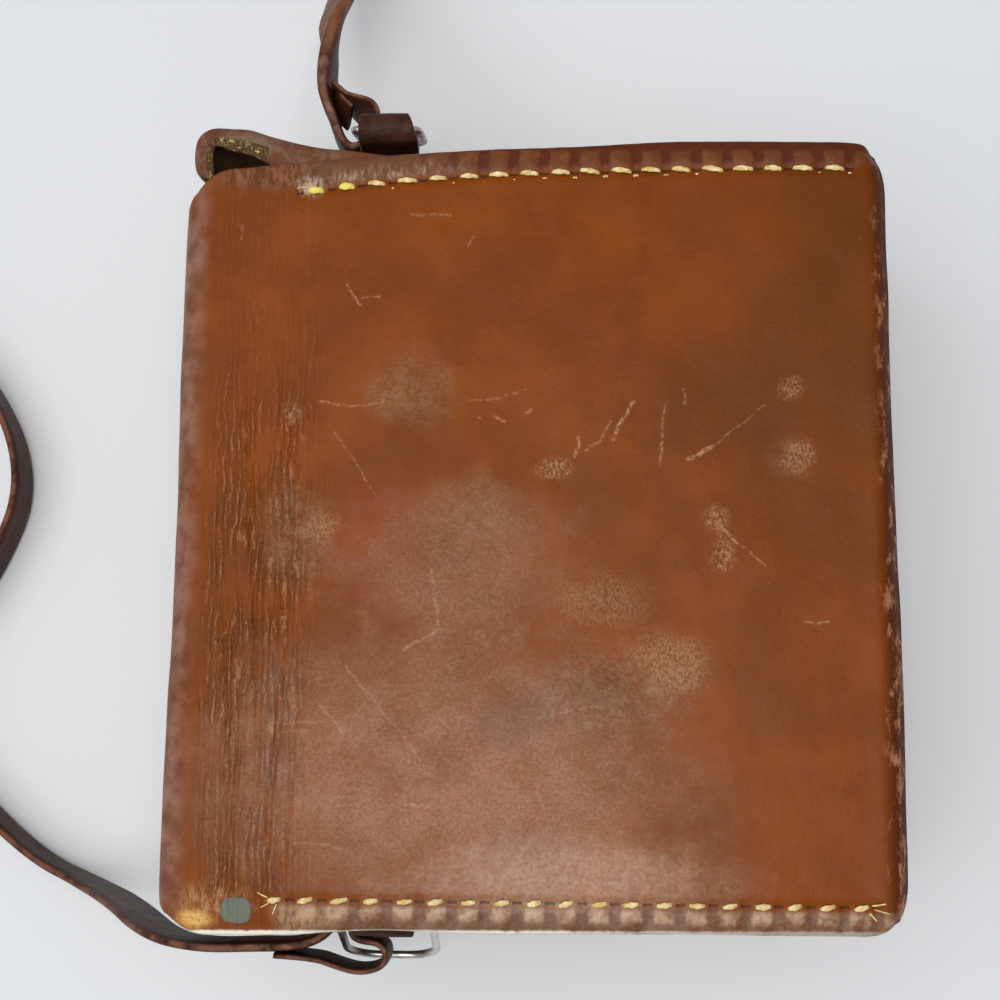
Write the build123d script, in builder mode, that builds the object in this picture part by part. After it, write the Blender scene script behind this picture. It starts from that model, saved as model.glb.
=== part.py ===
from build123d import *
import math
import os

os.makedirs("parts", exist_ok=True)

# A saddle leather camera case that lies on its front with its back up.
# All sizes are millimetres and degrees. X runs along the case's height, from the lid at
# -X to the base at +X, Y across its width, from its right side to its left, and Z is up.

# Case and leather
case_height = 138.0
case_width = 152.0
case_depth = 76.0
wrap_thick = 3.0
side_thick = 2.6
edge_round = 1.0
base_bend = 5.0
worn_corner = 5.0
fit = 0.05

# Lid and flap
lid_bend = 7.5
lid_hinge_inset = 14.0
flap_hinge_inset = 8.0
hinge_gap = 0.3
mouth_gap = 0.5
mouth_round = 5.5
lid_taper_left = 6.5
lid_taper_right = 3.5
wrap_taper_left = 3.0
wrap_taper_length = 50.0
flap_thick = 3.0
flap_width = 136.0
flap_skirt = 26.0
flap_length = 52.0
tongue_width = 44.0
skirt_round = 16.0
tongue_round = 16.0
tongue_shoulder = 6.0

# Side panels: a turned flange under the margin of the wrap, and a wall that wear has bent
side_inset = 1.2
flange_width = 9.0
back_flange_start = 26.0
front_flange_start = 8.0
left_corner_bow = 5.0
left_pull = 1.8
right_corner_bow = 0.8
right_pull = -0.8
corner_flat = 12.0
corner_reach = 30.0
corner_depth = 52.0
pull_reach = 60.0
pull_depth = 40.0
bow_spare = 1.2

# Press stud
stud_from_hinge = 40.0
cap_radius = 6.3
cap_height = 1.1
cap_recess = 1.25
cap_clear = 0.4
shank_radius = 1.5
socket_radius = 5.2
socket_height = 1.4
socket_bore = 2.1
socket_floor = 0.4
post_radius = 1.7
post_height = 1.3
post_base_radius = 5.0
post_base = 0.5
snap_clear = 0.15
washer_radius = 5.0
washer_thick = 0.7

# Lugs, rivets and strap rings
left_lug_from_lid = 39.5
right_lug_from_lid = 40.9
lug_width = 11.8
lug_leather = 2.4
roll_radius = 3.5
roll_drop = 12.0
lug_length = 41.0
lug_knee = 16.0
left_lug_lean = 4.0
right_lug_lean = 0.0
rivet_radius = 1.4
rivet_head_radius = 3.0
rivet_head = 1.1
burr_radius = 2.8
burr_thick = 0.9
first_rivet = 27.0
rivet_pitch = 7.5
ring_wire = 1.6
ring_inside = 13.7
ring_drop = 22.0
ring_top_round = 1.0
ring_bow_round = 5.5
ring_clear = 0.06
ring_slid = 0.75
left_ring_tilt = 14.0
right_ring_tilt = 22.0

# Seams
seam_inset = 5.0
stitch_pitch = 6.0
stitch_long = 3.9
stitch_wide = 1.35
stitch_high = 0.6
back_stitches = 18
front_stitches = 18
base_stitches = 10
left_seam_start = 25.5
right_seam_start = 21.5
left_seam_drift = 5.4
drift_length = 35.0

# Shoulder strap
strap_width = 12.7
strap_thick = 1.9
strap_skived = 1.3
strap_low = 45.5
riser_bend = 16.0
left_riser_level = 12.0
right_riser_level = 9.0
bend_share = 0.45

# How finely a bent wall follows its shape
level_count = 6
station_count = 9

# Places that follow from these sizes
base_x = case_height / 2
lid_x = -case_height / 2
half_width = case_width / 2
lid_hinge_x = lid_x + lid_hinge_inset
flap_hinge_x = lid_x + flap_hinge_inset
mouth_x = lid_x + wrap_thick + mouth_gap
stud_x = flap_hinge_x + stud_from_hinge
left_lug_x = lid_x + left_lug_from_lid
right_lug_x = lid_x + right_lug_from_lid
roll_z = case_depth - roll_drop
wall_out = half_width - side_inset
bore_radius = ring_wire / 2 + ring_clear

# The front leans in towards the mouth, far enough to clear the unfastened press stud
socket_top = flap_thick + socket_height
stud_z = socket_top + snap_clear + post_height + post_base
arc_x = base_x - base_bend
to_stud = math.hypot(arc_x - stud_x, stud_z - base_bend)
front_lean = math.atan2(stud_z - base_bend, arc_x - stud_x) + math.asin(base_bend / to_stud)


def front_z(x):
    """The height of the front's outer face."""
    return stud_z + (stud_x - x) * math.tan(front_lean)


def front_inner_z(x):
    """The height of the front's inner face."""
    return front_z(x) + wrap_thick / math.cos(front_lean)


def fade(distance, reach):
    """1 at no distance, falling smoothly to 0 at the reach."""
    return 0.5 + 0.5 * math.cos(math.pi * min(1.0, abs(distance) / reach))


def bow(x, z, corner, pull, lug_x):
    """How far a side wall stands out from flat, by its free corner and by the pull of its lug."""
    along = fade(max(0.0, x - lid_x - corner_flat), corner_reach)
    at_corner = corner * along * fade(case_depth - 2 * wrap_thick - z, corner_depth)
    at_lug = pull * fade(x - lug_x, pull_reach) * fade(z - tab_z, pull_depth)
    return at_corner + at_lug


tab_z = roll_z - (lug_knee + lug_length) / 2
left_bow = bow(left_lug_x, tab_z, left_corner_bow, left_pull, left_lug_x)
right_bow = bow(right_lug_x, tab_z, right_corner_bow, right_pull, right_lug_x)
left_tab = wall_out + left_bow + lug_leather
right_tab = wall_out + right_bow + lug_leather
left_roll = left_tab + left_lug_lean
right_roll = right_tab + right_lug_lean

# The part is centred on its outermost lug roll and ring, so the case itself stands off the middle
left_reach = max(
    left_roll + roll_radius,
    left_roll + ring_drop * math.sin(math.radians(left_ring_tilt)) + ring_wire / 2,
)
right_reach = max(
    right_roll + roll_radius,
    right_roll + ring_drop * math.sin(math.radians(right_ring_tilt)) + ring_wire / 2,
)
case_y = (right_reach - left_reach) / 2


def section(y):
    """The upright plane along the case, at y from its middle, drawn in x and z."""
    return Plane((0, case_y + y, 0), x_dir=(1, 0, 0), z_dir=(0, -1, 0))


front_out = Plane(
    (stud_x, case_y, stud_z),
    x_dir=(math.cos(front_lean), 0, -math.sin(front_lean)),
    z_dir=(-math.sin(front_lean), 0, -math.cos(front_lean)),
)
front_in = front_out.offset(-wrap_thick)

# Wrap of the body: front, base and back in one strip
with BuildPart() as body_wrap:
    with BuildSketch(section(0)):
        with BuildLine():
            skin = FilletPolyline(
                (mouth_x, front_z(mouth_x)),
                (base_x, front_z(base_x)),
                (base_x, case_depth),
                (lid_hinge_x + hinge_gap / 2, case_depth),
                radius=base_bend,
            )
            offset(skin, amount=wrap_thick, side=Side.LEFT)
        make_face()
    extrude(amount=half_width, both=True)
    cut_edges = body_wrap.edges().group_by(Axis.Y)
    fillet(cut_edges[0] + cut_edges[-1], radius=edge_round)
    with BuildSketch(Plane.XY):
        with BuildLine():
            outline = FilletPolyline(
                (mouth_x, case_y - half_width),
                (base_x, case_y - half_width),
                (base_x, case_y + half_width),
                (lid_hinge_x + wrap_taper_length, case_y + half_width),
                (lid_hinge_x, case_y + half_width - wrap_taper_left),
                (mouth_x, case_y + half_width - wrap_taper_left),
                radius=worn_corner,
            )
            Line(outline @ 1, outline @ 0)
        make_face()
    extrude(amount=case_depth, mode=Mode.INTERSECT)
    with Locations(front_out):
        Cylinder(shank_radius + fit, 3 * wrap_thick, mode=Mode.SUBTRACT)
body_wrap.part.label = "body_wrap"
export_step(body_wrap.part, "parts/body_wrap.step")

# Lid: rear strip, top and front fold in one strip, narrower than the body at its fold
with BuildPart() as lid:
    with BuildSketch(section(0)):
        with BuildLine():
            skin = FilletPolyline(
                (lid_hinge_x - hinge_gap / 2, case_depth),
                (lid_x, case_depth),
                (lid_x, 0),
                (flap_hinge_x - hinge_gap / 2, 0),
                radius=lid_bend,
            )
            offset(skin, amount=wrap_thick, side=Side.LEFT)
        make_face()
    extrude(amount=half_width, both=True)
    with BuildSketch(Plane.XY):
        Polygon(
            (lid_hinge_x, case_y + half_width - wrap_taper_left),
            (lid_x, case_y + half_width - lid_taper_left),
            (lid_x, case_y - half_width + lid_taper_right),
            (lid_hinge_x, case_y - half_width),
            align=None,
        )
    extrude(amount=case_depth, mode=Mode.INTERSECT)
lid.part.label = "lid"
export_step(lid.part, "parts/lid.step")

# Front flap, with a sunk seat for the cap of the press stud
flap_start = flap_hinge_x + hinge_gap / 2
skirt_end = flap_hinge_x + flap_skirt
tongue_end = flap_hinge_x + flap_length
with BuildPart() as front_flap:
    with BuildSketch(Plane((0, case_y, 0))):
        Polygon(
            (flap_start, flap_width / 2),
            (flap_start, -flap_width / 2),
            (skirt_end, -flap_width / 2),
            (skirt_end + tongue_shoulder, -tongue_width / 2),
            (tongue_end, -tongue_width / 2),
            (tongue_end, tongue_width / 2),
            (skirt_end + tongue_shoulder, tongue_width / 2),
            (skirt_end, flap_width / 2),
            align=None,
        )
    extrude(amount=flap_thick)
    upright = front_flap.edges().filter_by(Axis.Z).group_by(Axis.X)
    fillet(upright[-1], radius=tongue_round)
    upright = front_flap.edges().filter_by(Axis.Z).group_by(Axis.X)
    fillet(upright[1], radius=skirt_round)
    with Locations((stud_x, case_y, cap_recess / 2)):
        Cylinder(cap_radius + cap_clear, cap_recess, mode=Mode.SUBTRACT)
    with Locations((stud_x, case_y, flap_thick / 2)):
        Cylinder(shank_radius + fit, flap_thick, mode=Mode.SUBTRACT)
front_flap.part.label = "front_flap"
export_step(front_flap.part, "parts/front_flap.step")

# Press stud: cap and socket on the flap, post and washer on the front
with BuildPart() as stud_cap:
    with BuildSketch(Plane((stud_x, case_y, cap_recess))):
        Circle(cap_radius)
    extrude(amount=-cap_height)
    fillet(stud_cap.edges().group_by(Axis.Z)[0], radius=cap_height * 0.8)
    with BuildSketch(Plane((stud_x, case_y, cap_recess))):
        Circle(shank_radius)
    extrude(amount=flap_thick - cap_recess)
stud_cap.part.label = "stud_cap"
export_step(stud_cap.part, "parts/stud_cap.step")

with BuildPart() as stud_socket:
    with BuildSketch(Plane((stud_x, case_y, flap_thick))):
        Circle(socket_radius)
    extrude(amount=socket_height)
    chamfer(stud_socket.edges().group_by(Axis.Z)[-1], length=0.4)
    with BuildSketch(Plane((stud_x, case_y, flap_thick + socket_floor))):
        Circle(socket_bore)
    extrude(amount=socket_height, mode=Mode.SUBTRACT)
stud_socket.part.label = "stud_socket"
export_step(stud_socket.part, "parts/stud_socket.step")

with BuildPart() as stud_post:
    with BuildSketch(front_out):
        Circle(post_base_radius)
    extrude(amount=post_base)
    with BuildSketch(front_out.offset(post_base)):
        Circle(post_radius)
    extrude(amount=post_height)
    chamfer(stud_post.edges().sort_by(Axis.Z)[0], length=0.4)
    with BuildSketch(front_out):
        Circle(shank_radius)
    extrude(amount=-wrap_thick)
stud_post.part.label = "stud_post"
export_step(stud_post.part, "parts/stud_post.step")

with BuildPart() as stud_washer:
    with BuildSketch(front_in):
        Circle(washer_radius)
    extrude(amount=-washer_thick)
    chamfer(stud_washer.edges().group_by(Axis.Z)[-1], length=0.2)
stud_washer.part.label = "stud_washer"
export_step(stud_washer.part, "parts/stud_washer.step")


# Side panels: the bent wall is a loft, trimmed to the inside of the wrap
panel_top = case_depth - wrap_thick - fit
panel_base = base_x - wrap_thick - fit
panel_round = base_bend - wrap_thick


def panel_front(x):
    """The height of a side panel's front edge."""
    return front_inner_z(x) + fit


def side_panel(side, corner, pull, lug_x):
    """One side panel, its outer face towards side times +Y."""
    heights = [i * (panel_top + fit) / (level_count - 1) for i in range(level_count)]
    stations = [lid_x + i * case_height / (station_count - 1) for i in range(station_count)]
    with BuildPart() as panel:
        for z in heights:
            faces = [(x, wall_out + bow(x, z, corner, pull, lug_x)) for x in stations]
            with BuildSketch(Plane((0, case_y, z))):
                with BuildLine():
                    outer = Spline([(x, side * y) for x, y in faces])
                    inner = Spline([(x, side * (y - side_thick)) for x, y in faces])
                    Line(outer @ 0, inner @ 0)
                    Line(outer @ 1, inner @ 1)
                make_face()
        loft()
        with BuildSketch(section(0)):
            with BuildLine():
                rim = FilletPolyline(
                    (mouth_x, panel_front(mouth_x)),
                    (panel_base, panel_front(panel_base)),
                    (panel_base, panel_top),
                    (mouth_x, panel_top),
                    (mouth_x, panel_top - 2 * mouth_round),
                    radius=[panel_round, panel_round, mouth_round],
                )
                Line(rim @ 1, rim @ 0)
            make_face()
        extrude(amount=case_width, both=True, mode=Mode.INTERSECT)
        with BuildSketch(section(side * (wall_out - flange_width))):
            with BuildLine():
                rim = FilletPolyline(
                    (lid_x + front_flange_start, panel_front(lid_x + front_flange_start)),
                    (panel_base, panel_front(panel_base)),
                    (panel_base, panel_top),
                    (lid_x + back_flange_start, panel_top),
                    radius=panel_round,
                )
                offset(rim, amount=side_thick, side=Side.LEFT)
            make_face()
        extrude(amount=-side * (flange_width - side_thick / 2))
        with Locations(*rivet_places(side, lug_x)):
            Cylinder(rivet_radius + fit, case_depth, rotation=(90, 0, 0), mode=Mode.SUBTRACT)
    return panel


def rivet_places(side, lug_x):
    """The middles of a lug's two rivets."""
    y = case_y + side * wall_out
    return [(lug_x, y, roll_z - first_rivet - i * rivet_pitch) for i in range(2)]


left_panel = side_panel(1, left_corner_bow, left_pull, left_lug_x)
left_panel.part.label = "left_side_panel"
export_step(left_panel.part, "parts/left_side_panel.step")
right_panel = side_panel(-1, right_corner_bow, right_pull, right_lug_x)
right_panel.part.label = "right_side_panel"
export_step(right_panel.part, "parts/right_side_panel.step")


# Lugs: a strip folded round the ring's bar and riveted to the wall
def lug(side, tab, roll, lug_x, wall):
    """One lug, shaped to the wall that it lies on."""
    neck = max(tab, roll - roll_radius / 2)
    with BuildPart() as piece:
        with BuildSketch(Plane.YZ.offset(lug_x - lug_width / 2)):
            with BuildLine():
                CenterArc((case_y + side * neck, roll_z - roll_radius / 2), lug_leather, 0, 360)
                CenterArc((case_y + side * tab, roll_z - lug_knee), lug_leather, 0, 360)
            make_hull()
            with Locations((case_y + side * roll, roll_z)):
                Circle(roll_radius)
            middle = roll_z - (lug_knee + lug_length) / 2
            with Locations((case_y + side * tab, middle)):
                Rectangle(2 * lug_leather, lug_length - lug_knee)
            with Locations((case_y + side * (tab - lug_leather), middle)):
                Rectangle(2 * bow_spare, lug_length - lug_knee)
        extrude(amount=lug_width)
        add(wall.part, mode=Mode.SUBTRACT)
        with Locations((lug_x, case_y + side * roll, roll_z)):
            Cylinder(bore_radius, 2 * lug_width, rotation=(0, 90, 0), mode=Mode.SUBTRACT)
        with Locations(*rivet_places(side, lug_x)):
            Cylinder(rivet_radius + fit, case_depth, rotation=(90, 0, 0), mode=Mode.SUBTRACT)
    return piece


left_lug = lug(1, left_tab, left_roll, left_lug_x, left_panel)
left_lug.part.label = "left_lug"
export_step(left_lug.part, "parts/left_lug.step")
right_lug = lug(-1, right_tab, right_roll, right_lug_x, right_panel)
right_lug.part.label = "right_lug"
export_step(right_lug.part, "parts/right_lug.step")


# Rivets with a domed head outside, and a burr on each inside the wall
def rivets(side, tab, lug_x):
    """The two rivets of one lug."""
    face = case_y + side * (tab + lug_leather)
    inside = case_y + side * (tab - lug_leather - side_thick - burr_thick)
    with BuildPart() as pair:
        for x, _, z in rivet_places(side, lug_x):
            with BuildSketch(Plane((x, face, z), z_dir=(0, side, 0))):
                Circle(rivet_head_radius)
            extrude(amount=rivet_head)
            with BuildSketch(Plane((x, inside, z), z_dir=(0, side, 0))):
                Circle(rivet_radius)
            extrude(amount=abs(face - inside))
        chamfer(pair.edges().group_by(Axis.Y)[-1 if side > 0 else 0], length=0.8)
    return pair


def burrs(side, tab, lug_x, wall):
    """The washers that the two rivets are closed over."""
    inside = case_y + side * (tab - lug_leather - side_thick - burr_thick)
    with BuildPart() as pair:
        for x, _, z in rivet_places(side, lug_x):
            with BuildSketch(Plane((x, inside, z), z_dir=(0, side, 0))):
                Circle(burr_radius)
                Circle(rivet_radius + fit, mode=Mode.SUBTRACT)
            extrude(amount=burr_thick + bow_spare)
        add(wall.part, mode=Mode.SUBTRACT)
    return pair


left_rivets = rivets(1, left_tab, left_lug_x)
left_rivets.part.label = "left_lug_rivets"
export_step(left_rivets.part, "parts/left_lug_rivets.step")
right_rivets = rivets(-1, right_tab, right_lug_x)
right_rivets.part.label = "right_lug_rivets"
export_step(right_rivets.part, "parts/right_lug_rivets.step")
left_burrs = burrs(1, left_tab, left_lug_x, left_panel)
left_burrs.part.label = "left_rivet_burrs"
export_step(left_burrs.part, "parts/left_rivet_burrs.step")
right_burrs = burrs(-1, right_tab, right_lug_x, right_panel)
right_burrs.part.label = "right_rivet_burrs"
export_step(right_burrs.part, "parts/right_rivet_burrs.step")


# Strap rings: a long D of round wire, hung by its bar in the lug's roll
def strap_ring(side, roll, tilt, lug_x):
    """One ring, hanging down and tilted outwards."""
    lean = math.radians(tilt) * side
    hang = Plane(
        (lug_x - ring_slid, case_y + side * roll, roll_z),
        x_dir=(1, 0, 0),
        z_dir=(0, -math.cos(lean), -math.sin(lean)),
    )
    half = (ring_inside + ring_wire) / 2
    with BuildPart() as ring:
        with BuildLine(hang) as path:
            FilletPolyline(
                (half / 2, 0),
                (half, 0),
                (half, -ring_drop),
                (-half, -ring_drop),
                (-half, 0),
                (-half / 2, 0),
                radius=[ring_top_round, ring_bow_round, ring_bow_round, ring_top_round],
            )
            Line((-half / 2, 0), (half / 2, 0))
        with BuildSketch(Plane(path.line @ 0, z_dir=path.line % 0)):
            Circle(ring_wire / 2)
        sweep()
    return ring


left_ring = strap_ring(1, left_roll, left_ring_tilt, left_lug_x)
left_ring.part.label = "left_ring"
export_step(left_ring.part, "parts/left_ring.step")
right_ring = strap_ring(-1, right_roll, right_ring_tilt, right_lug_x)
right_ring.part.label = "right_ring"
export_step(right_ring.part, "parts/right_ring.step")


# Seams: the stitches that show, in a row along each margin
def stitches(plane, rows):
    """Rows of stitches on a plane, each row given by its first stitch, its y, its drift and its count."""
    with BuildPart() as seam:
        with BuildSketch(plane):
            for start, y, drift, count in rows:
                for i in range(count):
                    drifted = y - drift * math.exp(-i * stitch_pitch / drift_length)
                    with Locations((start + i * stitch_pitch, drifted)):
                        Rectangle(stitch_long, stitch_wide)
        extrude(amount=stitch_high)
    return seam


seam_y = half_width - seam_inset
back_face = Plane((0, case_y, case_depth))
left_row = (lid_x + left_seam_start, seam_y, left_seam_drift, back_stitches)
right_row = (lid_x + right_seam_start, -seam_y, 0, back_stitches + 1)
back_thread = stitches(back_face, [left_row, right_row])
back_thread.part.label = "back_seam_thread"
export_step(back_thread.part, "parts/back_seam_thread.step")

front_first = -(front_stitches - 1) * stitch_pitch / 2 - stud_x
front_rows = [(front_first, side * seam_y, 0, front_stitches) for side in (1, -1)]
front_thread = stitches(front_out, front_rows)
front_thread.part.label = "front_seam_thread"
export_step(front_thread.part, "parts/front_seam_thread.step")

base_face = Plane((base_x, case_y, case_depth / 2), x_dir=(0, 0, 1), z_dir=(1, 0, 0))
base_first = -(base_stitches - 1) * stitch_pitch / 2
base_rows = [(base_first, side * seam_y, 0, base_stitches) for side in (1, -1)]
base_thread = stitches(base_face, base_rows)
base_thread.part.label = "base_seam_thread"
export_step(base_thread.part, "parts/base_seam_thread.step")

# Shoulder strap: both ends loop on edge through the rings, skived thin, and from there it
# runs down to the floor and round over it on its edge
left_loop = [
    (-43.0, 96.4),
    (-41.6, 93.2),
    (-35.1, 89.2),
    (-36.25, 80.7),
    (-41.5, 80.7),
    (-45.0, 91.2),
    (-45.0, 98.7),
]
right_loop = [
    (-50.0, -85.8),
    (-38.4, -87.6),
    (-28.6, -87.6),
    (-28.6, -82.9),
    (-34.85, -82.0),
    (-34.85, -78.85),
    (-41.0, -78.85),
    (-53.0, -83.6),
    (-63.0, -81.0),
]
floor_route = [
    (-45.0, 166.0),
    (-45.0, 186.0),
    (-84.0, 206.0),
    (-142.0, 200.0),
    (-188.0, 166.0),
    (-198.0, 116.0),
    (-172.0, 76.0),
    (-140.0, 50.0),
    (-125.0, 20.0),
    (-129.5, -8.0),
    (-145.0, -28.0),
    (-140.0, -50.0),
    (-118.0, -60.3),
]


def easy_radii(points):
    """For each corner of a route, the radius that takes a share of its shorter run."""
    radii = []
    for before, corner, after in zip(points, points[1:], points[2:]):
        arriving = Vector(corner) - Vector(before)
        leaving = Vector(after) - Vector(corner)
        shorter = min(arriving.length, leaving.length)
        radii.append(bend_share * shorter / math.tan(math.radians(arriving.get_angle(leaving) / 2)))
    return radii


def ribbon(points, thick, low):
    """A stretch of strap on its edge, along a level route."""
    with BuildPart() as stretch:
        with BuildSketch(Plane.XY.offset(low)):
            with BuildLine():
                FilletPolyline(*points, radius=easy_radii(points))
            trace(line_width=thick)
        extrude(amount=strap_width)
    return stretch.part


def riser(top, bottom, level):
    """A stretch of strap on its edge that comes down in an S from a loop to the floor."""
    along = Vector(*bottom) - Vector(*top)
    run = along.length
    edge_on = Plane((*top, 0), x_dir=(along.X, along.Y, 0), z_dir=(along.Y, -along.X, 0))
    high = strap_low + strap_width / 2
    low = strap_width / 2
    with BuildPart() as stretch:
        with BuildSketch(edge_on):
            with BuildLine():
                FilletPolyline(
                    (0, high),
                    (level, high),
                    (run - level, low),
                    (run, low),
                    radius=riser_bend,
                )
            trace(line_width=strap_width)
        extrude(amount=strap_thick / 2, both=True)
    return stretch.part


with BuildPart() as strap:
    add(ribbon(left_loop, strap_skived, strap_low))
    add(riser(left_loop[-1], floor_route[0], left_riser_level))
    add(ribbon(floor_route, strap_thick, 0))
    add(riser(right_loop[-1], floor_route[-1], right_riser_level))
    add(ribbon(right_loop, strap_skived, strap_low))
strap.part.label = "shoulder_strap"
export_step(strap.part, "parts/shoulder_strap.step")
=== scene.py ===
import math

import bmesh
import bpy
import numpy as np
from mathutils import Matrix, Vector


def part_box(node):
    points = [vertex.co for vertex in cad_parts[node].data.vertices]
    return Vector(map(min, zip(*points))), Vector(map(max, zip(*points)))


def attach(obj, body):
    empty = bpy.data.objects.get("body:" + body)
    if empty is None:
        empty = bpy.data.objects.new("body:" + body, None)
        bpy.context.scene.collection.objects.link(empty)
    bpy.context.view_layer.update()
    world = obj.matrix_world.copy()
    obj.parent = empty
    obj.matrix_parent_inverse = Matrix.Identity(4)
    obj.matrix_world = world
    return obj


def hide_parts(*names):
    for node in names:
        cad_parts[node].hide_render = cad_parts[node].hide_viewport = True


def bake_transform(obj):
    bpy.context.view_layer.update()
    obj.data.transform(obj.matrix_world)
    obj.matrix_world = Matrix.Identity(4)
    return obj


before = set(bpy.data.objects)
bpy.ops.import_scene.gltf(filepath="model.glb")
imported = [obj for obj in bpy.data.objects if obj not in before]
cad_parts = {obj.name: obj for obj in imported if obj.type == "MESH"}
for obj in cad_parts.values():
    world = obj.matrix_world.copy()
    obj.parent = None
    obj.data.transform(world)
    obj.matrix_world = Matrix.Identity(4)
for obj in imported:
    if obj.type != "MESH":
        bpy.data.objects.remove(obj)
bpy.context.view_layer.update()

# Camera, lamps and floor. The case lies on a pale floor and is seen from nearly straight above,
# from a little to its right side, under a broad soft lamp with a weaker one beside it.
low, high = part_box("body_wrap")
middle_y = 500 * (low.y + high.y)  # mm, where the case's middle lies, as the left lug and ring reach further
eye = np.array([0.0, -43.591, 373.08])
aim = np.array([-6.527, 2.152, 76.0])
roll = 0.012

ahead = (aim - eye) / np.linalg.norm(aim - eye)
flat = np.cross(ahead, [0, 1, 0])
flat /= np.linalg.norm(flat)
upward = np.cross(flat, ahead)
across = math.cos(roll) * flat + math.sin(roll) * upward
upward = math.cos(roll) * upward - math.sin(roll) * flat
lens = bpy.data.cameras.new("camera")
lens.lens = 56.664
lens.sensor_width = 36
camera = bpy.data.objects.new("camera", lens)
view = Matrix.Identity(4)
for i in range(3):
    view[i][0], view[i][1], view[i][2], view[i][3] = across[i], upward[i], -ahead[i], eye[i] / 1000
camera.matrix_world = view
bpy.context.scene.collection.objects.link(camera)
bpy.context.scene.camera = camera
bpy.context.scene.view_settings.view_transform = "Standard"


def lamp(name, place, toward, width, height, power):
    """A rectangular lamp at a place, turned toward a point, in metres and watts."""
    light = bpy.data.lights.new(name, "AREA")
    light.shape = "RECTANGLE"
    light.size, light.size_y, light.energy = width, height, power
    lamp_object = bpy.data.objects.new(name, light)
    lamp_object.location = place
    lamp_object.rotation_euler = (Vector(toward) - Vector(place)).to_track_quat("-Z", "Y").to_euler()
    bpy.context.scene.collection.objects.link(lamp_object)


lamp("softbox", (0.03, -0.12, 1.15), (0, -0.03, 0.05), 0.5, 0.3, 5.0)
lamp("key_lamp", (-0.5, -0.05, 1.35), (0, 0, 0.05), 1.5, 1.3, 12.0)

world = bpy.data.worlds.new("world")
bpy.context.scene.world = world
world.use_nodes = True
world.node_tree.nodes["Background"].inputs["Color"].default_value = (0.93, 0.95, 1.0, 1)
world.node_tree.nodes["Background"].inputs["Strength"].default_value = 0.32


class Wire:
    """A value inside a finish: sums and products written with it add the nodes that work them out."""

    def __init__(self, finish, socket):
        self.finish = finish
        self.socket = socket

    def math(self, operation, other=0.0):
        return self.finish.node("Math", {"operation": operation}, {0: self, 1: other})

    def __add__(self, other):
        return self.math("ADD", other)

    def __mul__(self, other):
        return self.math("MULTIPLY", other)

    def __sub__(self, other):
        return self.math("SUBTRACT", other)

    def __rsub__(self, other):
        return self.finish.node("Math", {"operation": "SUBTRACT"}, {0: other, 1: self})

    def __truediv__(self, other):
        return self.math("DIVIDE", other)

    __radd__ = __add__
    __rmul__ = __mul__

    def smooth(self, low, high):
        """0 below low and 1 above high, or the other way round where low is the larger."""
        ends = {0: self, 1: low, 2: high}
        return self.finish.node("MapRange", {"interpolation_type": "SMOOTHSTEP"}, ends)


class Finish:
    """A material, its shader and the nodes that feed it. Patterns read the piece's own place in mm."""

    def __init__(self, name, **constants):
        self.material = bpy.data.materials.new(name)
        self.material.use_nodes = True
        self.tree = self.material.node_tree
        self.shader = self.tree.nodes["Principled BSDF"]
        for key, value in constants.items():
            self.shader.inputs[key.replace("_", " ").title()].default_value = value
        whole = self.node("TexCoord", out="Object")
        self.place = self.node("VectorMath", {"operation": "SCALE"}, {0: whole, "Scale": 1000.0})
        self.x = self.node("SeparateXYZ", {}, {0: self.place}, "X")
        self.y = self.node("SeparateXYZ", {}, {0: self.place}, "Y") - middle_y
        self.z = self.node("SeparateXYZ", {}, {0: self.place}, "Z")

    def node(self, kind, settings=None, inputs=None, out=0):
        made = self.tree.nodes.new("ShaderNode" + kind)
        for key, value in (settings or {}).items():
            setattr(made, key, value)
        for key, value in (inputs or {}).items():
            if isinstance(value, Wire):
                self.tree.links.new(value.socket, made.inputs[key])
            else:
                made.inputs[key].default_value = value
        return Wire(self, made.outputs[out])

    def noise(self, size, detail=3.0, stretch=(1, 1, 1), offset=0.0, rough=0.55):
        """Cloudy noise whose lumps are about this many mm across, wider along the stretched axes."""
        scale = [1 / size / s for s in stretch]
        moved = self.node("Mapping", {}, {"Vector": self.place, "Location": (offset,) * 3, "Scale": scale})
        ends = {"Vector": moved, "Scale": 1.0, "Detail": detail, "Roughness": rough}
        return self.node("TexNoise", {}, ends)

    def mix(self, share, a, b):
        """Colour a where the share is 0 and colour b where it is 1."""
        ends = {0: share, 6: a if isinstance(a, Wire) else (*a, 1), 7: b if isinstance(b, Wire) else (*b, 1)}
        return self.node("Mix", {"data_type": "RGBA"}, ends, 2)

    def attribute(self, name):
        return self.node("Attribute", {"attribute_name": name}, out="Fac")

    def wear(self, colour=None, rough=None, height=None, deep=0.001, coat=None):
        """Joins a colour, a roughness, a height in mm times deep and a coat to the shader."""
        if coat is not None:
            self.shader.inputs["Coat Roughness"].default_value = 0.42
            self.tree.links.new(coat.socket, self.shader.inputs["Coat Weight"])
        if colour is not None:
            self.tree.links.new(colour.socket, self.shader.inputs["Base Color"])
        if rough is not None:
            self.tree.links.new(rough.socket, self.shader.inputs["Roughness"])
        if height is not None:
            bump = self.node("Bump", {}, {"Distance": deep, "Height": height}, "Normal")
            self.tree.links.new(bump.socket, self.shader.inputs["Normal"])
        return self.material


floor_finish = Finish("floor_paper", base_color=(0.72, 0.735, 0.745, 1), roughness=0.9)
floor_mesh = bpy.data.meshes.new("floor")
floor_mesh.from_pydata([(-3, -3, 0), (3, -3, 0), (3, 3, 0), (-3, 3, 0)], [], [(0, 1, 2, 3)])
floor = bpy.data.objects.new("floor", floor_mesh)
floor.data.materials.append(floor_finish.material)
floor.location.z = -0.0002
bpy.context.scene.collection.objects.link(floor)


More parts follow.
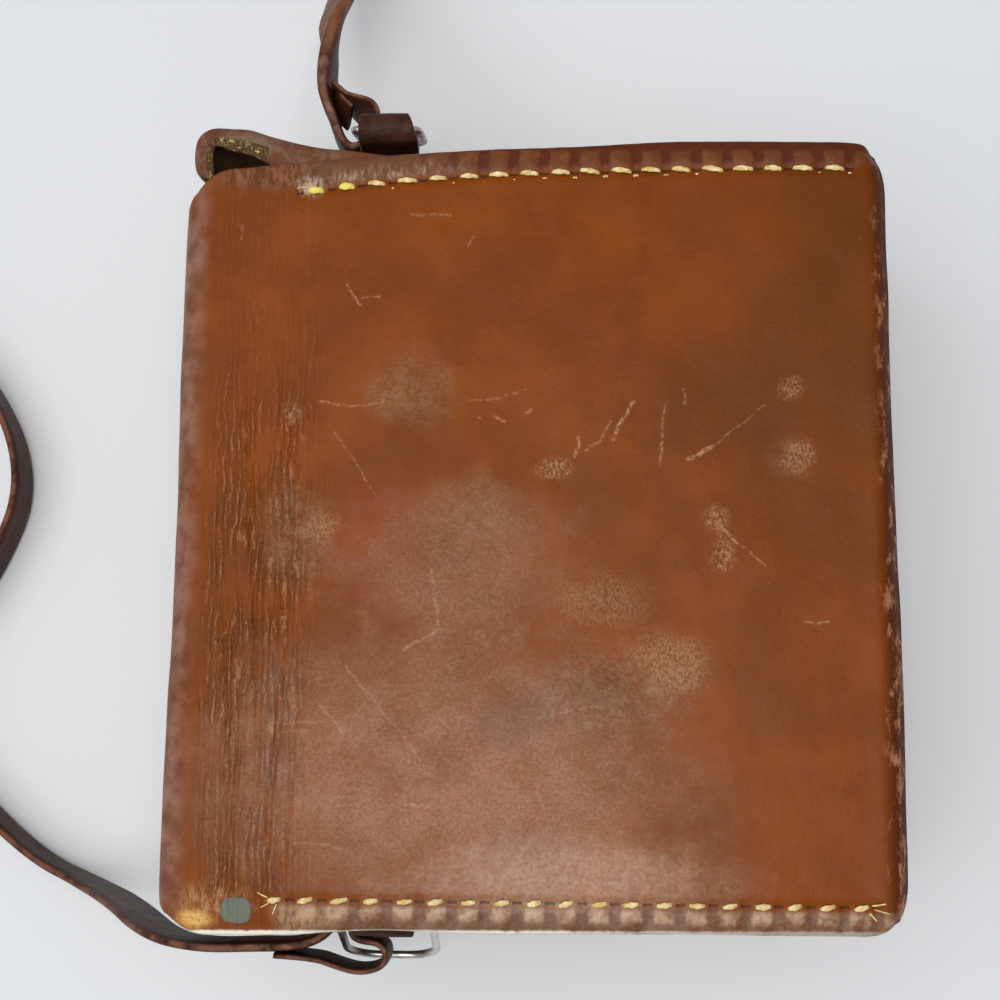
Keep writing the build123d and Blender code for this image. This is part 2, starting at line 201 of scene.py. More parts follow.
def closed(name, points, faces, material, depth=None):
    """A smooth piece from points in mm and faces, turned outward, with the depth kept for the finish."""
    mesh = bpy.data.meshes.new(name)
    mesh.from_pydata((points.reshape(-1, 3) / 1000).tolist(), [], faces)
    if depth is not None:
        mesh.attributes.new("depth", "FLOAT", "POINT").data.foreach_set("value", depth.ravel().astype(np.float32))
    mesh.polygons.foreach_set("use_smooth", np.ones(len(mesh.polygons), bool))
    mesh.materials.append(material)
    piece = bpy.data.objects.new(name, mesh)
    bpy.context.scene.collection.objects.link(piece)
    whole = bmesh.new()
    whole.from_mesh(mesh)
    bmesh.ops.recalc_face_normals(whole, faces=whole.faces)
    whole.to_mesh(mesh)
    whole.free()
    return piece


def tube(name, rings, material, depth=None):
    """A piece through rings of points, one ring per row, with both ends closed."""
    rows, columns = rings.shape[:2]
    index = np.arange(rows * columns).reshape(rows, columns)
    after = np.roll(index, -1, 1)
    faces = np.stack([index[:-1], after[:-1], after[1:], index[1:]], -1).reshape(-1, 4).tolist()
    faces += [index[0].tolist(), index[-1].tolist()]
    return closed(name, rings, faces, material, depth)


def sheet(name, outer, thick, material, side=1, lift=0.0, bulge=0.9, blunt=(True, True), raw=0.0):
    """A piece of leather from a grid of points on its outer face, in mm: the outer face raised by the
    lift, the inner face one thickness below the grid, the long edges rounded out by the bulge and the
    ends of the rows, where blunt, thinned to round their arrises. The depth runs from 0, or the raw
    value, outside to 1 inside."""
    along, across = np.gradient(outer, axis=0), np.gradient(outer, axis=1)
    normal = np.cross(along, across) * side
    normal /= np.linalg.norm(normal, axis=2)[..., None]
    lift = np.broadcast_to(lift, outer.shape[:2])[..., None]
    thin = np.ones(len(outer))
    if blunt[0]:
        thin[:4] = [0.45, 0.75, 0.92, 1]
    if blunt[1]:
        thin[-4:] = [1, 0.92, 0.75, 0.45]
    thin = thin[:, None, None] * thick / 2
    middle = outer - normal * thick / 2
    top, under = middle + normal * (thin + lift), middle - normal * thin
    turns = np.radians([25, 55, 90, 125, 155])
    tips = []
    for column, way in ((-1, 1), (0, -1)):
        out = way * across[:, column] / np.linalg.norm(across[:, column], axis=1)[:, None]
        half = (top[:, column] + under[:, column]) / 2
        reach = (top[:, column] - under[:, column]) / 2
        tip = half[:, None] + reach[:, None] * np.cos(turns)[:, None] + out[:, None] * bulge * np.sin(turns)[:, None]
        tips.append(tip)
    points = np.concatenate([top, tips[0], under[:, ::-1], tips[1][:, ::-1]], 1)
    count = outer.shape[1]
    tip_depth = (1 - np.cos(turns)) / 2
    depth = np.concatenate([np.zeros(count), tip_depth, np.ones(count), tip_depth[::-1]])[None].repeat(len(outer), 0)
    depth[:, :count] = raw
    index = np.arange(points.shape[0] * points.shape[1]).reshape(points.shape[:2])
    after = np.roll(index, -1, 1)
    faces = np.stack([index[:-1], after[:-1], after[1:], index[1:]], -1).reshape(-1, 4).tolist()
    for row in (index[0], index[-1]):
        face, back = row[:count], row[count + 5:2 * count + 5][::-1]
        faces += np.stack([face[:-1], face[1:], back[1:], back[:-1]], -1).tolist()
        faces.append([face[-1], *row[count:count + 5], back[-1]])
        faces.append([back[0], *row[2 * count + 5:], face[0]])
    return closed(name, points, faces, material, depth)


# Shoulder strap: a half inch strip of dark oiled leather, skived and looped on its edge through
# both rings. It twists as it leaves the left ring and lies round on its edge on the floor.
strap_wide = 12.7
strap_thick = 2.2
strap_skived = 1.4
ring_z = 51.85  # where the loops hang in the rings
floor_z = strap_wide / 2
strap_route = np.array([
    (-43.4, 94.6, ring_z), (-41.2, 92.0, ring_z), (-35.4, 89.0, ring_z), (-34.9, 86.5, ring_z),
    (-36.1, 80.6, ring_z), (-40.9, 79.9, ring_z), (-44.8, 91.4, ring_z), (-45.6, 98.7, ring_z),
    (-44.2, 110.7, ring_z), (-46.0, 154.0, floor_z), (-46.0, 166.0, floor_z), (-46.0, 186.0, floor_z),
    (-84.0, 206.0, floor_z), (-142.0, 200.0, floor_z), (-188.0, 166.0, floor_z), (-198.0, 116.0, floor_z),
    (-172.0, 76.0, floor_z), (-137.0, 50.0, floor_z), (-118.5, 19.0, floor_z), (-128.0, -8.0, floor_z),
    (-144.0, -28.0, floor_z), (-137.0, -48.0, floor_z), (-123.5, -62.0, floor_z), (-111.5, -71.6, floor_z),
    (-100.0, -75.8, 10.0), (-88.0, -78.8, 24.0), (-74.0, -82.9, 48.0), (-64.0, -84.0, ring_z),
    (-54.0, -83.6, ring_z), (-46.0, -83.5, ring_z),
    (-41.0, -81.9, ring_z), (-38.4, -79.0, ring_z), (-34.9, -78.9, ring_z), (-34.7, -82.0, ring_z),
    (-28.4, -82.6, ring_z), (-28.0, -86.8, ring_z), (-33.0, -88.4, ring_z), (-38.5, -86.9, ring_z),
    (-42.0, -85.6, ring_z), (-50.0, -85.2, ring_z),
])


def eased(route, fine=12):
    """The points of the smooth line that a route steers, read from its NURBS curve, in mm."""
    curve = bpy.data.curves.new("route", "CURVE")
    curve.dimensions = "3D"
    spline = curve.splines.new("NURBS")
    spline.points.add(len(route) - 1)
    spline.points.foreach_set("co", np.column_stack([route / 1000, np.ones(len(route))]).ravel())
    spline.order_u = 3
    spline.use_endpoint_u = True
    curve.resolution_u = fine
    holder = bpy.data.objects.new("route", curve)
    line = bpy.data.meshes.new_from_object(holder)
    found = np.array([tuple(vertex.co) for vertex in line.vertices]) * 1000
    bpy.data.objects.remove(holder)
    return found


def lengths(line):
    """How far along a line each of its points is."""
    return np.concatenate([[0], np.cumsum(np.linalg.norm(np.diff(line, axis=0), axis=1))])


def band(name, line, wide, half_thick, turn, material):
    """A strap along a line, its width upright where the turn is 0 and leaning by the turn elsewhere.
    Its section is a flat oval, |w| to the power 5.7 plus |t| to the power 2.5 at one."""
    heading = np.gradient(line, axis=0)
    heading /= np.linalg.norm(heading, axis=1)[:, None]
    level = np.cross(heading, [0, 0, 1])
    level /= np.linalg.norm(level, axis=1)[:, None]
    tall = np.cross(level, heading)
    turn = np.asarray(turn)[:, None]
    wide_way = np.cos(turn) * tall + np.sin(turn) * level
    thin_way = np.cos(turn) * level - np.sin(turn) * tall
    angle = np.linspace(0, 2 * math.pi, 36, endpoint=False)
    w = np.sign(np.cos(angle)) * np.abs(np.cos(angle)) ** 0.35
    t = np.sign(np.sin(angle)) * np.abs(np.sin(angle)) ** 0.8
    rings = line[:, None] + (wide_way * wide / 2)[:, None] * w[:, None] + (thin_way * half_thick)[:, None] * t[:, None]
    depth = np.broadcast_to(np.abs(w) ** 12, rings.shape[:2])
    return tube(name, rings, material, depth)


def hide(name, light, deep, grain=1.0):
    """A leather finish with its clouding and grain: the finish, its colour, roughness and height."""
    finish = Finish(name)
    finish.shader.inputs["Specular IOR Level"].default_value = 0.1
    cloud = finish.noise(16, 4).smooth(0.35, 0.68)
    fine = finish.noise(1.6, 4, offset=3.1)
    colour = finish.mix(cloud * 0.7 + fine * 0.3, deep, light)
    height = finish.noise(0.45 * grain, 3, offset=9.0) * 0.5 + finish.noise(2.2, 3, offset=5.0) * 0.8
    rough = 0.3 + 0.3 * finish.noise(5, 5, offset=2.0)
    return finish, colour, rough, height


strap_line = eased(strap_route)
strap_far = lengths(strap_line)
riding = (strap_line[:, 1] > 88) & (strap_far > 22) & (strap_far < 200)
lean_y, lean_by = [88, 93, 103, 109, 117, 130, 156], [-0.05, -0.12, 0.05, 0.3, 0.78, 0.7, 0]
lean = np.where(riding, np.interp(strap_line[:, 1], lean_y, lean_by), 0)
lean += np.interp(strap_far, [4, 9, 13, 17], [0, -0.25, -0.25, 0])
loop_far, skive_far = 20, 30  # each end's skived loop, and the run from there to the full thickness
sewn_double, bent_thick = 0.3, 0.45  # what half the thickness gains at the left loop and at the bend beside it
ends = np.minimum(strap_far, strap_far[-1] - strap_far)
strap_half = (strap_skived + (strap_thick - strap_skived) * np.clip((ends - loop_far) / skive_far, 0, 1)) / 2
strap_half = strap_half + sewn_double * (strap_far < 60) * (strap_far > 16)
strap_half = (strap_half + bent_thick * riding * np.exp(-(((strap_line[:, 1] - 102) / 9) ** 2)))[:, None]

finish, colour, rough, height = hide("strap_leather", (0.078, 0.023, 0.013), (0.028, 0.009, 0.006))
worn = finish.attribute("depth").smooth(0.25, 0.9)
worn = worn * finish.noise(3.5, 4, offset=8.0).smooth(0.3, 0.62)
colour = finish.mix(worn * 0.8, colour, (0.2, 0.085, 0.05))
# Painted highlight: the top edge of the loops at the rings is painted paler, as lit from above.
painted_top_highlight = finish.z.smooth(56.5, 58.5) * finish.noise(2.5, 4, offset=14.0).smooth(0.5, 0.7)
colour = finish.mix(painted_top_highlight * 0.5, colour, (0.32, 0.18, 0.13))
leaving = finish.y.smooth(98, 117) * finish.noise(12, 3, offset=1.0).smooth(0.1, 0.5)
tone = finish.mix(finish.noise(4, 4, offset=19.0).smooth(0.35, 0.7), (0.16, 0.05, 0.012), (0.3, 0.12, 0.05))
colour = finish.mix(leaving * 0.85, colour, tone)
finish.wear(colour, rough, height, 0.0003)
strap = band("strap_leather_band", strap_line, strap_wide, strap_half, lean, finish.material)
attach(strap, "body")
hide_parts("shoulder_strap")
tuck_line = eased(np.array([(-43.2, 93.6, 52.4), (-42.9, 91.2, 52.4), (-41.4, 89.6, 52.4), (-40.2, 88.5, 52.4)]))
tuck = band("strap_turned_end", tuck_line, 9.4, 0.7, np.full(len(tuck_line), -0.3), finish.material)
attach(tuck, "body")

# Wrap: one strip of 3 mm saddle leather, folded from the mouth along the front, round the base and
# the back, over the top as the lid. Its margins are sewn to the side panels and worn round.
wrap_thick = 3.0
half_wide = 76.0
mouth_x = -65.5
stud_x = -21.0
stud_z = 6.35
base_x = 69.0
lid_x = -69.0
back_z = 76.0
fold_end = -61.15
front_slope = math.tan(math.radians(4.279))
front_split = -42.0
pitch = 6.0
seam_v = 71.0
left_first, right_first = -43.5, -47.5  # the first stitch of each row on the back
left_drift, drift_far = 5.4, 35  # how far the left row runs in beside the lid, and how soon that fades
left_lug_x, right_lug_x = -29.5, -28.1


def front_z(x):
    """The height of the front's outer face, which leans in toward the mouth."""
    return stud_z + (stud_x - x) * front_slope


def folded(corners, radii, step=0.1):
    """A line through corners, each inner one turned to an arc of its radius, with points a step apart."""
    corners = np.array(corners, float)
    found = [corners[:1]]
    for before, here, beyond, radius in zip(corners, corners[1:], corners[2:], radii):
        back, on = before - here, beyond - here
        back /= np.linalg.norm(back)
        on /= np.linalg.norm(on)
        half = math.acos(np.clip(back @ on, -1, 1)) / 2
        reach = radius / math.tan(half)
        centre = here + (back + on) / np.linalg.norm(back + on) * radius / math.sin(half)
        first, last = here + back * reach - centre, here + on * reach - centre
        turn = math.pi - 2 * half
        share = np.linspace(0, 1, 40)[:, None]
        found.append(centre + (np.sin((1 - share) * turn) * first + np.sin(share * turn) * last) / math.sin(turn))
    found.append(corners[-1:])
    line = np.concatenate(found)
    far = lengths(line)
    even = np.linspace(0, far[-1], int(far[-1] / step))
    return np.column_stack([np.interp(even, far, line[:, i]) for i in range(line.shape[1])])


base_round, lid_round = 5.0, 7.5
wrap_corners = [(mouth_x, front_z(mouth_x)), (base_x, front_z(base_x)), (base_x, back_z), (lid_x, back_z), (lid_x, 0)]
wrap_line = folded([*wrap_corners, (fold_end, 0)], [base_round, base_round, lid_round, lid_round])
wrap_far = lengths(wrap_line)
total = wrap_far[-1]


def reached(choice, column, value):
    """How far along the wrap's line, within the chosen part of it, a place is reached."""
    order = np.argsort(wrap_line[choice, column])
    return np.interp(value, wrap_line[choice, column][order], wrap_far[choice][order])


on_front = (wrap_line[:, 1] < 30) & (wrap_far < total / 2)
on_base = np.abs(wrap_line[:, 0] - base_x) < 0.01
on_back = wrap_line[:, 1] > back_z - 0.01
left_x = left_first + pitch * np.arange(18)
right_x = right_first + pitch * np.arange(19)
front_x = -51.0 + pitch * np.arange(18)
base_z = back_z / 2 + pitch * (np.arange(10) - 4.5)
left_v = seam_v - left_drift * np.exp(-(left_x - left_first) / drift_far)
seams = {
    "back": [(reached(on_back, 0, left_x), left_v), (reached(on_back, 0, right_x), np.full(len(right_x), -seam_v))],
    "front": [(reached(on_front, 0, front_x), np.full(len(front_x), side * seam_v)) for side in (1, -1)],
    "base": [(reached(on_base, 1, base_z), np.full(len(base_z), side * seam_v)) for side in (1, -1)],
}


def waves(u, v, size, seed, count=7):
    """Smooth uneven height between about -1 and 1, a sum of sines that run in different directions."""
    draw = np.random.default_rng(seed)
    turns = draw.uniform(0, 2 * math.pi, (count, 2))
    sizes = size * draw.uniform(0.7, 1.6, count)
    parts = [np.sin((u * math.cos(a) + v * math.sin(a)) * 2 * math.pi / s + b) for (a, b), s in zip(turns, sizes)]
    return sum(parts) / math.sqrt(count)


def bell(distance, reach):
    """1 at no distance, falling off to nothing a few reaches away."""
    return np.exp(-((distance / reach) ** 2))


def ramp(value, low, high):
    """0 at low and 1 at high, easing in and out between."""
    share = np.clip((value - low) / (high - low), 0, 1)
    return share * share * (3 - 2 * share)


creases = [
    (-62.6, 0.12), (-60.9, 0.2), (-59.2, 0.16), (-57.7, 0.34), (-56.2, 0.24), (-54.8, 0.46), (-53.3, 0.3),
    (-51.7, 0.44), (-50.0, 0.32), (-48.2, 0.48), (-46.2, 0.28), (-44.4, 0.16),
]


def seam_lift(far, v):
    """The margins' shape: a groove along each row of stitches, a dimple at each hole, and the edge
    outside it drawn in between the holes."""
    lift = np.zeros(np.broadcast(far, v).shape)
    for rows in seams.values():
        for row_far, row_v in rows:
            step = math.copysign(pitch, row_far[-1] - row_far[0])
            holes = np.append(row_far, row_far[-1] + step) - step / 2
            order = np.argsort(row_far)
            off = (v - np.interp(far, row_far[order], row_v[order])) * math.copysign(1, row_v[0])
            along = ramp(far, holes.min() - 3, holes.min()) * ramp(far, holes.max() + 3, holes.max())
            drawn_in = 0.25 * np.cos((far - holes[0]) * 2 * math.pi / pitch) * bell(off - 2.8, 1.9)
            lift -= along * (0.32 * bell(off, 0.9) + drawn_in)
            for hole, hole_v in zip(holes, np.append(row_v, row_v[-1])):
                lift -= 0.5 * bell(far - hole, 0.75) * bell(v - hole_v, 0.85)
    return lift


def wrap_lift(far, v, x, z):
    """How far the wrap's outer face stands out, in mm: the margins worn down and drawn in by the
    stitches, creases across the lid's hinge and the slow unevenness of old leather."""
    lift = 0.22 * waves(far, v, 60, 3) + 0.06 * waves(far, v, 13, 4)
    lift = lift - 0.3 * (z > back_z - 3) + 1.3 * bell(x - lid_x, 5) * bell(z - 60, 30)
    lift = lift + bell(x - base_x, 4) * (0.5 + 1.0 * ramp(-v, -20, 60)) * bell(z - 60, 30)
    worn_margin = 0.9 * np.clip((np.abs(v) - 69.5) / 6.5, 0, 1) ** 2.2
    worn_corner = 2.8 * bell(x - base_x, 3.0) * np.clip((np.abs(v) - 65) / 11, 0, 1) ** 2.6
    lift = lift - (worn_margin + worn_corner) + seam_lift(far, v)
    near_hinge = (z > back_z - 3) & (x < -40)
    strong = 0.3 + 0.8 * np.clip((30 - v) / 45, 0, 1) * (0.55 + 0.45 * np.clip((v + 76) / 12, 0, 1))
    for i, (crease, deep) in enumerate(creases):
        wander = 0.7 * np.sin(v / 17 + i * 1.7) + 0.3 * np.sin(v / 6.3 + i * 2.9)
        broken = np.clip(0.6 + 0.7 * np.sin(v / (9 + i % 4 * 3) + i * 1.3), 0, 1)
        valley = bell(x - crease - wander, 0.4) - 0.5 * bell(x - crease - wander - 0.85, 0.5)
        lift = lift - near_hinge * deep * strong * broken * valley
    return lift


def wrap_halves(far, x, z):
    """The widths to the left and the right of the middle: less at the lid, and rounded at the corners."""
    corner = ramp(z, 30, 70)
    left = half_wide + 0.7 - 1.4 * ramp(-x, -30, 0) - 3.4 * np.clip((-x + 5) / 52, 0, 1) ** 1.4
    left = left - 1.3 * ramp(-x, 45, 60) - (2.2 + 4.6 * corner) * np.clip((-x - 57) / 12, 0, 1) ** 3
    right = half_wide + 0.3 + 1.3 * np.clip((25 - x) / 75, 0, 1)
    right = right - (1.6 + 3.0 * corner) * np.clip((-x - 59) / 10, 0, 1) ** 2.6
    right = right - 0.9 * bell(x - right_lug_x, 12) * corner
    corner_reach, back_bend, front_bend = 9, 3.6, 3.0
    turn = np.clip((x - base_x + corner_reach) / corner_reach, 0, 1)
    rounding = 1 - np.sqrt(1 - 0.98 * turn**2)
    bend = back_bend * rounding * bell(z - back_z, corner_reach)
    low_bend = front_bend * rounding * bell(z, corner_reach)
    on_low = far < reached(on_front, 0, base_x - 6)
    left = np.where(on_low, half_wide - 0.3, left) - bend - low_bend
    right = np.where(on_low, half_wide - 0.3, right) - bend - low_bend
    return left, right


def steps(start, *stops):
    """Places along a line from a start, given as pairs of where to and how far apart."""
    found, here = [], start
    for end, gap in stops:
        count = max(1, round((end - here) / gap))
        found.append(here + (end - here) * np.arange(count) / count)
        here = end
    return np.concatenate([*found, [here]])


edge_v = np.arange(62, 75.1, 0.55)
wrap_v = np.concatenate([-edge_v[::-1], np.arange(-60, 61, 2.0), edge_v])
limit = wrap_v.max()


def wrap_part(name, far, blunt, material):
    """One stretch of the wrap as a sheet of leather."""
    x, z = (np.interp(far, wrap_far, wrap_line[:, i]) for i in (0, 1))
    left, right = wrap_halves(far, x, z)
    bulge = 0.9
    plain = 50  # mm from the middle, within which the grid isn't drawn in to the worn width
    half = np.where(wrap_v > 0, left[:, None], right[:, None]) - bulge
    outside = np.maximum(np.abs(wrap_v) - plain, 0)
    v = np.sign(wrap_v) * (np.minimum(np.abs(wrap_v), plain) + outside * (half - plain) / (limit - plain))
    whole = np.broadcast_to
    outer = np.stack([whole(x[:, None], v.shape), v + middle_y, whole(z[:, None], v.shape)], -1)
    lift = wrap_lift(far[:, None], v, x[:, None], z[:, None])
    return sheet(name, outer, wrap_thick, material, side=-1, lift=lift, bulge=bulge, blunt=blunt)


split = reached(on_front, 0, front_split)
base_from, base_to = reached(on_front, 0, base_x - 6), reached(on_back, 0, base_x - 6)
hinge_from, hinge_to = reached(on_back, 0, -42), reached(on_back, 0, -63)
body_far = steps(
    split, (base_from, 1.2), (base_from + 12, 0.7), (base_to - 12, 1.1), (base_to, 0.7), (hinge_from, 0.8),
    (hinge_to, 0.42), (hinge_to + 16, 0.8), (total - 16, 2.5), (total - 1.2, 0.9), (total - 0.2, 0.33), (total, 0.2),
)
mouth_far = steps(0.0, (0.2, 0.2), (1.2, 0.33), (split, 1.2))

finish, tan, rough, height = hide("saddle_leather", (0.225, 0.05, 0.0012), (0.155, 0.034, 0.001))
ragged = finish.noise(6, 5, offset=11.0, rough=0.7)
jagged_x = finish.x + (finish.noise(5, 4, offset=17.0) - 0.5) * 2.2
jagged_v = finish.y + (finish.noise(5, 4, offset=23.0) - 0.5) * 2.2


def scratch(ax, av, bx, bv, wide, strong):
    """A scratch from a to b, in mm on the back, this wide and strong. Along from a to b, the nearest
    place is clamped to the line's ends, and what counts is the distance from it."""
    ux, uv = bx - ax, bv - av
    dx, dv = jagged_x - ax, jagged_v - av
    share = ((dx * ux + dv * uv) / (ux * ux + uv * uv)).math("MAXIMUM").math("MINIMUM", 1.0)
    ex, ev = dx - share * ux, dv - share * uv
    return (ex * ex + ev * ev).math("POWER", 0.5).smooth(wide, wide * 0.15) * strong


def blot(cx, cv, rx, rv, torn=0.5):
    """A soft patch about cx, cv, in mm on the back, of radii rx and rv, with an uneven outline."""
    dx, dv = (finish.x - cx) / rx, (finish.y - cv) / rv
    gap = (dx * dx + dv * dv).math("POWER", 0.5)
    return (gap + ragged * torn).smooth(1.0 + torn * 0.5, 0.25 + torn * 0.5)


marks = 0.0
for line in [
    (8.1, 12.8, 8.3, 16.4, 0.5, 0.9), (9.7, 13.8, 12.5, 15.8, 0.4, 0.7), (12.5, 15.8, 14.8, 19.7, 0.4, 0.6),
    (14.8, 15.8, 19.0, 23.3, 0.5, 1.0), (24.0, 11.0, 24.4, 15.9, 0.45, 0.7), (24.4, 15.9, 25.0, 22.8, 0.3, 0.6),
    (28.5, 23.4, 28.5, 26.1, 0.35, 0.6), (29.7, 12.4, 34.0, 15.0, 0.6, 0.9), (34.0, 15.0, 44.2, 22.9, 0.3, 0.5),
    (34.4, 0.5, 39.1, -4.2, 0.4, 0.7), (39.1, -4.2, 43.8, -8.0, 0.35, 0.6), (-12.6, 23.9, -6.8, 23.9, 0.35, 0.45),
    (-6.8, 23.9, -2.0, 25.9, 0.35, 0.45), (-41.6, 22.9, -35.7, 22.1, 0.35, 0.5),
    (-35.7, 22.1, -29.0, 23.1, 0.4, 0.55), (-11.5, 20.5, -10.2, 19.9, 0.4, 0.6),
    (-7.7, 20.5, -5.7, 19.6, 0.45, 0.7), (-1.9, 21.0, -0.8, 21.8, 0.4, 0.6), (-38.5, 17.0, -34.5, 11.5, 0.35, 0.35),
    (-34.5, 11.5, -30.5, 4.8, 0.3, 0.4), (-19.3, -9.6, -18.0, -20.0, 0.45, 0.45),
    (-17.6, -20.9, -24.1, -24.8, 0.5, 0.65), (-35.4, -27.7, -27.6, -36.9, 0.35, 0.4),
    (-27.6, -36.9, -20.9, -45.2, 0.35, 0.4), (-49.2, -38.5, -38.8, -38.4, 0.4, 0.4),
    (-50.0, -40.0, -41.6, -39.9, 0.35, 0.3), (-39.9, -35.2, -35.0, -40.7, 0.4, 0.45),
    (-23.5, -53.5, -18.8, -53.4, 0.5, 0.65), (5.2, -36.0, 12.6, -34.8, 0.35, 0.45),
    (-24.9, 60.8, -17.0, 60.8, 0.5, 0.35), (-13.4, 53.9, -12.6, 56.3, 0.35, 0.5),
    (-36.9, 46.1, -33.9, 42.0, 0.45, 0.6), (-33.9, 43.7, -30.8, 44.1, 0.4, 0.5),
    (-58.3, 55.9, -58.0, 58.1, 0.4, 0.4), (51.1, -18.7, 55.4, -18.7, 0.35, 0.6),
    (-43.8, -60.6, -35.4, -61.4, 0.4, 0.45),
]:
    marks = scratch(*line).math("MAXIMUM", marks)
marks = marks * finish.noise(0.8, 4, offset=31.0, rough=0.8).smooth(0.38, 0.56)
worn_through = blot(3.9, 10.3, 4.9, 2.9, 0.8)
for patch in [(49.6, 26.0, 3.4, 2.8), (34.5, 0.5, 3.4, 3.4), (36.0, -6.0, 3.0, 5.0), (51, 13, 4, 5), (-47, 21, 3, 3)]:
    worn_through = worn_through.math("MAXIMUM", blot(*patch, 1.6) * 0.8)
worn_through = worn_through * finish.noise(0.5, 4, stretch=(1, 1.6, 1), offset=37.0, rough=0.8).smooth(0.42, 0.58)
specks = finish.noise(0.9, 2, offset=41.0, rough=0.8).smooth(0.68, 0.76) * ragged.smooth(0.45, 0.65)
upper = finish.z.smooth(72.0, 74.6)
marks = (marks + worn_through * 0.8 + specks * 0.3).math("MINIMUM", 1.0) * upper

grain = finish.noise(0.8, 4, offset=47.0, rough=0.75)
soft = finish.noise(8, 5, offset=51.0) * 0.7 + grain * 0.6
# Painted sheen: a pale, speckled glow over the lower middle of the back, standing in for the softbox's reflection. The
# same patch also sets the coat's real sheen.
painted_sheen = (blot(-16, -48, 60, 36, 0.6) + blot(-14, -8, 30, 20, 0.8) * 0.7) * (soft.smooth(0.35, 0.85) * 0.8 + 0.35)
painted_sheen = painted_sheen.math("MINIMUM", 1.0) * upper
# Painted highlight: the brightest spot of the softbox's reflection, low on the back.
painted_sheen_peak = blot(8, -67, 40, 11, 0.6) * (grain.smooth(0.3, 0.7) * 0.6 + 0.4) * upper
grey = blot(-24, 26, 13, 10, 1.0) * 0.5 + blot(-46, -3, 9, 14, 0.9) * 0.8 + blot(13, -33, 20, 12, 0.9) * 0.7
grey = grey + blot(-12, -2, 12, 15, 0.9) * 0.5 + blot(49, 13, 6, 6, 0.9) * 0.35 + blot(-52, -40, 9, 26, 0.9) * 0.4
mottle = (grain * 0.8 + finish.noise(3, 4, offset=57.0) * 0.6).smooth(0.5, 0.85)
grey = grey.math("MINIMUM", 1.0) * upper
pale = blot(26, -27, 11, 9, 1.0) + blot(13, -15, 12, 8, 1.0) * 0.6
pale = pale + blot(-41, -1, 5, 4.5, 0.9) * 0.8 + blot(-28, 25, 8, 7, 1.0) * 0.25
pale = pale * finish.noise(0.5, 4, stretch=(1, 1.5, 1), offset=53.0, rough=0.8).smooth(0.36, 0.66) * upper
dark = (blot(14, -31, 9, 6, 0.8) + blot(-5, -38, 10, 9, 0.9) * 0.8 + blot(30, 25, 34, 20, 1.0) * 0.5) * upper
dark = dark + finish.noise(9, 5, offset=61.0, rough=0.7).smooth(0.56, 0.78) * 0.5
red = blot(-28, -6, 14, 22, 0.9) + blot(-33, -48, 12, 12, 0.9)

# Painted shade: darker toward the base end, most on the upper half of the back.
colour = finish.mix(finish.x.smooth(20, 66) * finish.y.smooth(-30, 30) * 0.6, tan, (0.1, 0.025, 0.0015))
colour = finish.mix(red * 0.4 * upper, colour, (0.22, 0.034, 0.0065))
colour = finish.mix(dark.math("MINIMUM", 1.0) * 0.55, colour, (0.085, 0.02, 0.004))
speckle = finish.noise(0.6, 3, offset=63.0, rough=0.8).smooth(0.36, 0.64)
# The painted sheen laid into the colour.
colour = finish.mix(painted_sheen * 0.62, colour, finish.mix(speckle, (0.21, 0.075, 0.03), (0.37, 0.165, 0.085)))
colour = finish.mix(painted_sheen_peak * 0.6, colour, (0.42, 0.25, 0.16))
colour = finish.mix(grey * (mottle * 0.5 + 0.3), colour, finish.mix(mottle, (0.14, 0.062, 0.026), (0.28, 0.15, 0.085)))
# Stains kept darker within the painted sheen.
colour = finish.mix(dark.math("MINIMUM", 1.0) * painted_sheen * 0.5, colour, (0.15, 0.05, 0.016))
colour = finish.mix(pale * 0.6, colour, (0.44, 0.25, 0.12))
creased = finish.x.smooth(-38, -47) * finish.x.smooth(-64.5, -60) * (finish.y.smooth(42, 2) * 0.85 + 0.15) * upper
creased = creased * finish.noise(5, 4, stretch=(1, 2, 1), offset=45.0).smooth(0.3, 0.65) * finish.y.smooth(-71, -68.5)
wander = finish.noise(3.0, 4, stretch=(1, 4, 1), offset=81.0, rough=0.6) * 5.0
ripple = ((finish.x + wander) * 4.6).math("COSINE")
# The crease ridges and valleys shape the bump and also carry painted light.
ridge, valley = ripple.smooth(0.35, 0.95) * creased, ripple.smooth(-0.2, -0.9) * creased
# Painted shade in the crease valleys.
colour = finish.mix(valley * 0.45, colour, (0.09, 0.022, 0.004))
# Painted highlight on the crease ridges.
colour = finish.mix(ridge * 0.5 * grain.smooth(0.3, 0.6), colour, (0.42, 0.2, 0.1))
side = finish.y.math("ABSOLUTE")
streaks = finish.noise(0.8, 4, stretch=(1, 3, 1), offset=49.0, rough=0.7).smooth(0.4, 0.62)
left_seam = seam_v - left_drift * ((finish.x - left_first).math("MAXIMUM", -4.0) / -drift_far).math("EXPONENT")
off_seam = side - seam_v + (seam_v - left_seam) * finish.y.smooth(-1, 1)
margin = off_seam.smooth(0.2, 1.6) * upper * finish.x.smooth(-48.5, -44.5)
blotchy = finish.noise(3.2, 5, offset=67.0, rough=0.7)
phase = finish.x - left_first + finish.y.smooth(5, -5) * (left_first - right_first)
swell = ((phase + (finish.noise(2, 3, offset=91.0) - 0.5) * 1.4) * (2 * math.pi / pitch)).math("COSINE")
pillow = swell.smooth(-0.75, 0.05) * side.smooth(75.0, 73.6)
# Mask for the painted shade in the stitch holes.
hole = (phase * (2 * math.pi / pitch)).math("COSINE").smooth(-0.45, -0.7) * off_seam.math("ABSOLUTE").smooth(0.42, 0.15)
hole = hole * finish.x.smooth(-48.5, -47.5) * finish.x.smooth(64, 62) * upper
fuzz = finish.x.smooth(-8, -26) * streaks * blotchy.smooth(0.35, 0.6) * off_seam.smooth(5.0, 1.5)
